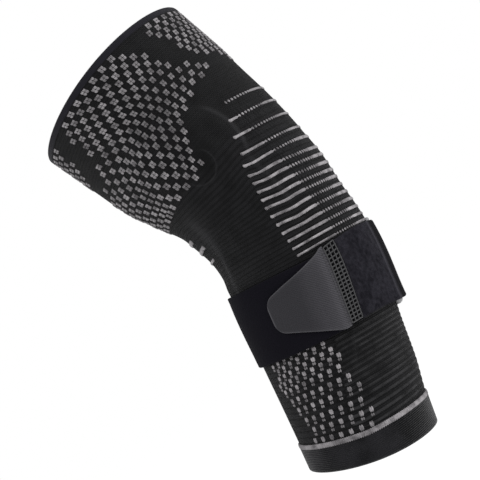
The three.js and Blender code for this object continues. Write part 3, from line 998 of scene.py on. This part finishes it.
def band(name, turn, top, foot, lift_at, thickness, materials):
    """Band with rounded edges round the arm. Its profile runs down the inner face and up the outer."""
    radius = thickness / 2
    share = np.linspace(0, 1, FACE_STEPS)
    angle = np.pi * np.arange(1, EDGE_STEPS) / EDGE_STEPS
    face_top, face_foot = (top - radius)[:, None], (foot + radius)[:, None]
    face = face_top + (face_foot - face_top) * share
    inner = lift_at(share)
    low = face_foot - radius * np.sin(angle)
    low_lift = lift_at(1.0) + radius * (1 - np.cos(angle))
    high = face_top + radius * np.sin(angle)
    high_lift = lift_at(0.0) + radius * (1 + np.cos(angle))
    s = np.concatenate([face, low, face[:, ::-1], high], axis=1)
    lift = np.concatenate([inner, low_lift, inner[:, ::-1] + thickness, high_lift], axis=1)
    rings, around = s.shape
    turn = np.repeat(turn[:, None], around, axis=1)
    points = wall_point(s, turn, lift + relief(s, turn % 360))
    middle = points[:, FACE_STEPS // 2]
    along = np.concatenate([[0], np.cumsum(np.linalg.norm(np.diff(middle, axis=0), axis=1))])
    uv = np.repeat(along[:, None], around + 1, axis=1), np.concatenate([s, s[:, :1]], axis=1)
    outer_face = np.arange(around) >= FACE_STEPS - 1
    obj = grid_mesh(name, points, False, True, uv, np.tile(outer_face, (rings, 1)))
    close_ends(obj, rings, around, len(materials) - 1)
    for material in materials:
        obj.data.materials.append(material)
    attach(obj, "root")
    return obj, s, turn


def strap_fabric():
    """Smooth loop cloth, brushed up past the crease, with a light line on the crease itself, partly painted
    highlight and partly wear, and painted shade on the side beyond it.
    """
    nodes = Nodes("strap_cloth", 1.0, 0.03, 0.012)
    brushed = nodes.marked("brushed")
    tufts = nodes.noise(430.0, 4.0)
    fluff = nodes.plus(nodes.times(tufts, 0.6), nodes.times(nodes.noise(130.0, 3.0), 0.4))
    smooth = nodes.mix(nodes.noise(1500.0, 2.0), *STRAP_COLOURS)
    colour = nodes.mix(brushed, smooth, nodes.mix(nodes.ramp(fluff, 0.27, 0.76), *BRUSHED_COLOURS))
    # Light line on the crease: painted highlight, partly wear
    colour = nodes.mix(nodes.times(nodes.marked("crease"), 0.8), colour, CREASE_HIGHLIGHT_COLOUR)
    # Painted shade on the strap's side beyond the crease
    colour = nodes.mix(nodes.marked("side"), colour, STRAP_SIDE_SHADE_COLOUR)
    height = nodes.plus(nodes.times(nodes.noise(1800.0, 2.0), 0.25), nodes.times(brushed, tufts, 1.4))
    return nodes.finish(colour, height, 0.6)


def strap_object():
    """The wrap strap, once round the forearm and over its own start, with a crease across it."""
    travel = np.linspace(0, TRAVEL[-1], 420)
    turn = ROUTE_TURN[0] - travel
    crease = 0.5 * bell(turn, CREASE_TURN, 2.2)
    base = (layer_lift(between(TRAVEL, ROUTE_LAYER, travel)) + crease)[:, None]
    stand = STRAP_STAND_OFF * strap_off(travel)[:, None]
    lining = speckled_material(Nodes("strap_inside", 0.9, 0.15, 0.05), 900.0, 2.0, STRAP_LINING_COLOURS)
    strap, _, turns = band(
        "strap_band", turn, strap_top(travel), strap_foot(travel),
        lambda share: base + stand * (STRAP_GAP_AT_TOP + (1 - STRAP_GAP_AT_TOP) * share ** 2),
        STRAP_THICKNESS, (lining, strap_fabric()))
    mark(strap, "brushed", 1 - ease(turns, CREASE_TURN - 1, CREASE_TURN + 1))
    # Where the crease's light line is painted: highlight, partly wear
    mark(strap, "crease", bell(turns, CREASE_TURN - 1.5, 0.7))
    # Where painted shade darkens the strap's side
    mark(strap, "side", within(turns, CREASE_TURN + 1, CREASE_TURN + 3, 5, 12))
    return strap


strap = strap_object()
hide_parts("forearm_strap")

# The strap's light backing, which shows past its upper and lower edge on the outer side
BACKING_TURNS = (-15, 42)
BACKING_STEPS = 60
BACKING_LIFT = 0.55
BACKING_WALL_LIFT = 0.45
# Its profile: above the strap's top or, where that is 0, above its foot; lift
ABOVE_TOP, ABOVE_FOOT, PROFILE_LIFT = np.array([
    (1.8, 0, 0.9), (1.3, 0, 1.8), (0.6, 0, 1.7), (-0.6, 0, 0.8), (-20, 0, 1), (0, 12, 1.8),
    (0, 4, 3), (0, 0.6, 3.6), (0, -0.8, 3.9), (0, -2, 3.4), (0, -2.9, 2),
]).T


def backing_object():
    """Lens between the wall and the strap, thin at the top and full at the foot."""
    turn = np.linspace(*BACKING_TURNS, BACKING_STEPS)[:, None]
    travel = ROUTE_TURN[0] - turn
    full = np.sqrt(np.clip(np.minimum(turn - turn[0], turn[-1] - turn) / 5, 0.01, 1))
    above_foot = ABOVE_FOOT * np.where(ABOVE_FOOT < 0, full, 1)
    s = np.where(ABOVE_TOP != 0, strap_top(travel) + ABOVE_TOP * full, strap_foot(travel) + above_foot)
    lift = BACKING_LIFT + (PROFILE_LIFT - BACKING_LIFT) * full * strap_off(travel)
    s = np.concatenate([s, s[:, ::-1]], axis=1)
    lift = np.concatenate([lift, np.full(lift.shape, BACKING_WALL_LIFT)], axis=1)
    backing = grid_mesh("strap_backing", wall_point(s, turn, lift), False, True)
    close_ends(backing, *s.shape, 0)
    nodes = Nodes("backing_light", 0.9, 0.15, 0.1)
    backing.data.materials.append(speckled_material(nodes, 900.0, 3.0, BACKING_COLOURS))
    return backing


backing = backing_object()
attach(backing, "root")

# Tab, and the stitching along and across its sewn end
TAB_ARC = np.radians(TAB_SWEEP) * mean_radius(-STRAP_DROP - STRAP_WIDTH / 2)
SEAM_WIDTH = 7.4
HATCH_STEP = 1.5
THREAD_SIDES = 6
THREAD_RADIUS = 0.43
SEAM_THREADS = [0.7, 2.8, 4.9, 7.0]
FINE_THREAD = 8.6
FINE_THREAD_RADIUS = 0.16
CROSS_COUNT = 21


def tab_edges(reach):
    """Upper and lower edge of the tab, drawn in at the tip for its round corners."""
    travel = ROUTE_TURN[0] - TAB_START + TAB_SWEEP * reach
    top = strap_top(travel)
    width = top - strap_foot(travel)
    to_tip = np.minimum(TAB_CORNER, (1 - reach) * TAB_ARC)
    inset = TAB_CORNER - np.sqrt(TAB_CORNER ** 2 - (TAB_CORNER - to_tip) ** 2)
    upper = top - width * between(TAB_REACH, TAB_TOP, reach) - inset
    lower = top - width * between(TAB_REACH, TAB_BOTTOM, reach) + inset
    return upper, lower


def tab_lift(reach):
    return layer_lift(between(TAB_REACH, TAB_LAYER, reach))


def tab_material():
    """Hook tape: diagonal hatching, painted shade darkening it towards the tip, a painted highlight on its
    rim and a dark seam.
    """
    nodes = Nodes("tab_hook", 0.7, 0.2, 0.03)
    along, across = nodes.uv()
    seam = nodes.marked("seam")
    hatch = nodes.sine(nodes.less(across, nodes.times(along, 0.8)), 2 * np.pi / HATCH_STEP)
    # Painted shade, darker towards the tip, with random tone from the noise
    shade_to_tip = nodes.plus(nodes.ramp(along, 8.0, 36.0), nodes.times(nodes.noise(45.0, 2.0), 0.3))
    colour = nodes.mix(shade_to_tip, *TAB_SHADE_COLOURS)
    colour = nodes.mix(nodes.times(nodes.plus(nodes.times(hatch, 0.5), 0.5), 0.6), colour, TAB_HATCH_COLOUR)
    # Painted highlight along the tab's rim
    colour = nodes.mix(nodes.times(nodes.marked("rim"), 0.7), colour, TAB_RIM_HIGHLIGHT_COLOUR)
    colour = nodes.mix(seam, colour, SEAM_COLOUR)
    nodes.put(nodes.shader["Specular IOR Level"], nodes.times(nodes.less(1.0, seam), 0.2))
    height = nodes.plus(nodes.times(hatch, 0.5), nodes.times(nodes.noise(1100.0, 3.0), 0.8))
    return nodes.finish(colour, height, 0.22)


def tab_object():
    """The tab, with closer stations where the tip's corners turn."""
    tip = 1 - 0.14 * (1 - np.linspace(0.02, 1, 26)) ** 2
    reach = np.concatenate([np.linspace(0, 0.86, 90), tip])
    upper, lower = tab_edges(reach)
    lift = tab_lift(reach)[:, None]
    tab, s, _ = band("tab_plate", TAB_START - TAB_SWEEP * reach, upper, lower,
                     lambda share: lift + 0 * share, TAB_THICKNESS, (tab_material(), tab_material()))
    from_end = (TAB_ARC * reach)[:, None]
    from_edge = np.minimum(np.minimum(upper[:, None] - s, s - lower[:, None]), TAB_ARC - from_end)
    # Where the painted highlight runs along the tab's edges
    mark(tab, "rim", 1 - ease(from_edge, 0.2, 1.1))
    mark(tab, "seam", 1 - ease(from_end, SEAM_WIDTH - 0.2, SEAM_WIDTH + 0.2) + 0 * s)
    return tab


def thread(s, reach, lift, radius):
    """A thread's grid of points: rings along it, points round it."""
    turn = TAB_START - TAB_SWEEP * reach
    line = wall_point(s, turn, lift)
    along = np.gradient(line, axis=0)
    along /= np.linalg.norm(along, axis=1, keepdims=True)
    out = wall_point(s, turn, lift + 1) - line
    out /= np.linalg.norm(out, axis=1, keepdims=True)
    angle = ring_angles(THREAD_SIDES)[:, None]
    side = np.cross(along, out)[:, None]
    return line[:, None] + radius * (np.cos(angle) * side + np.sin(angle) * out[:, None])


def tab_threads():
    """Rippled threads down the sewn end, and short ones across them."""
    threads = []
    ripple = 0.14 * np.cos(2 * np.pi * np.arange(120) / 6)
    for distance in SEAM_THREADS + [FINE_THREAD]:
        reach = distance / TAB_ARC
        top, foot = tab_edges(reach)
        radius = FINE_THREAD_RADIUS if distance == FINE_THREAD else THREAD_RADIUS
        lift = tab_lift(reach) + TAB_THICKNESS + 0.1 * radius + ripple
        threads.append(thread(np.linspace(top - 1.4, foot + 1.4, 120), reach, lift, radius))
    reach = np.linspace(SEAM_THREADS[0], SEAM_THREADS[-1], 12) / TAB_ARC
    top, foot = tab_edges(reach)
    for i in range(CROSS_COUNT):
        s = top + (foot - top) * (i + 0.6) / (CROSS_COUNT + 0.2)
        threads.append(thread(s, reach, tab_lift(reach) + TAB_THICKNESS + 0.05, THREAD_RADIUS * 0.9))
    return threads


tab = tab_object()
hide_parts("hook_tab")

thread_nodes = Nodes("thread_grey", 0.7, 0.3, 0.1)
thread_material = thread_nodes.finish(thread_nodes.mix(thread_nodes.noise(900.0), *THREAD_COLOURS))
stitching = closed_tubes("tab_stitching", tab_threads(), thread_material)
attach(stitching, "root")

# Camera, floor and light. Soft lights: name, place in metres, side of the square, power
CAMERA_AT = Vector((-20.4, -600.0, -34.7)) * MM
CAMERA_TO = Vector((-23.4, 0.0, 12.3)) * MM
CAMERA_ROLL = np.radians(36)
CAMERA_LENS = 75
FLOOR_DROP = 500.0
FLOOR_REACH = 20000.0
LIGHTS = [
    ("key", (-0.9, -0.8, 1.3), 0.7, 14.0),
    ("fill", (1.3, -0.45, 0.2), 0.9, 15.5),
]


def set_camera():
    data = bpy.data.cameras.new("camera")
    data.lens = CAMERA_LENS
    data.sensor_width = 36
    data.clip_start = 0.01
    forward = (CAMERA_TO - CAMERA_AT).normalized()
    right = forward.cross(Vector((np.sin(CAMERA_ROLL), 0, np.cos(CAMERA_ROLL)))).normalized()
    turned = Matrix((right, right.cross(forward), -forward)).transposed().to_4x4()
    camera = link_object("camera", data)
    camera.matrix_world = Matrix.Translation(CAMERA_AT) @ turned
    bpy.context.scene.camera = camera


def lay_floor():
    x, y = np.meshgrid([-FLOOR_REACH, FLOOR_REACH], [-FLOOR_REACH, FLOOR_REACH], indexing="ij")
    floor = grid_mesh("floor", np.stack([x, y, np.full((2, 2), -FLOOR_DROP)], axis=-1))
    floor.data.materials.append(Nodes("floor_white", 1.0, 0.0).finish((1.0, 1.0, 1.0, 1.0)))
    return floor


def set_lights():
    world = bpy.data.worlds.new("studio")
    bpy.context.scene.world = world
    world.use_nodes = True
    background = world.node_tree.nodes["Background"].inputs
    background["Color"].default_value = (1, 1, 1, 1)
    background["Strength"].default_value = 1.0
    for name, place, size, power in LIGHTS:
        light = bpy.data.lights.new(name, "AREA")
        light.size = size
        light.energy = power
        lamp = link_object(name, light)
        lamp.location = place
        lamp.rotation_euler = (-Vector(place)).to_track_quat("-Z", "Y").to_euler()


set_camera()
floor = lay_floor()
set_lights()
bpy.context.scene.view_settings.view_transform = "Standard"
